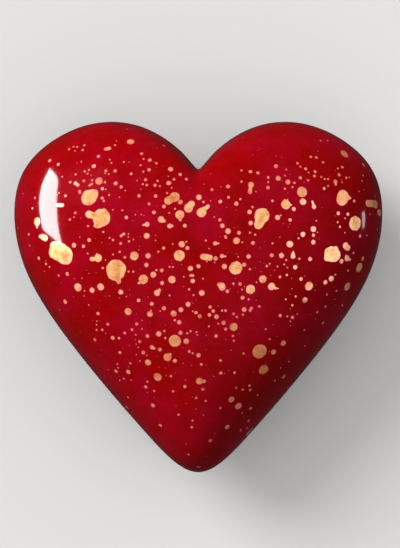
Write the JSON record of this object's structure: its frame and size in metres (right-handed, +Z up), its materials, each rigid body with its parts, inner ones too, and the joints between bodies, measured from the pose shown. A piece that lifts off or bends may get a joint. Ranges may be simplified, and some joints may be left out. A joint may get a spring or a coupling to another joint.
{
  "type": "chocolate heart",
  "caption": "Puffed chocolate heart with two full lobes, a short cleft and a rounded tip, coated glossy deep red and spattered with gold, lying on its back.",
  "frame": {"origin": "under the middle of the heart's outline, on the surface that it lies on", "axes": "+X across the two lobes, +Y from the tip to the lobes, +Z up through the shown face"},
  "size_m": [0.12, 0.1142, 0.0597],
  "materials": {
    "red_coating": "deep red cocoa butter coating, smooth and glossy, with fine airbrush mottling",
    "gold_spatter": "light copper gold drops, satin, mottled, paler towards their edges"
  },
  "bodies": {
    "root": {"chocolate_heart": "red_coating"}
  },
  "joints": []
}
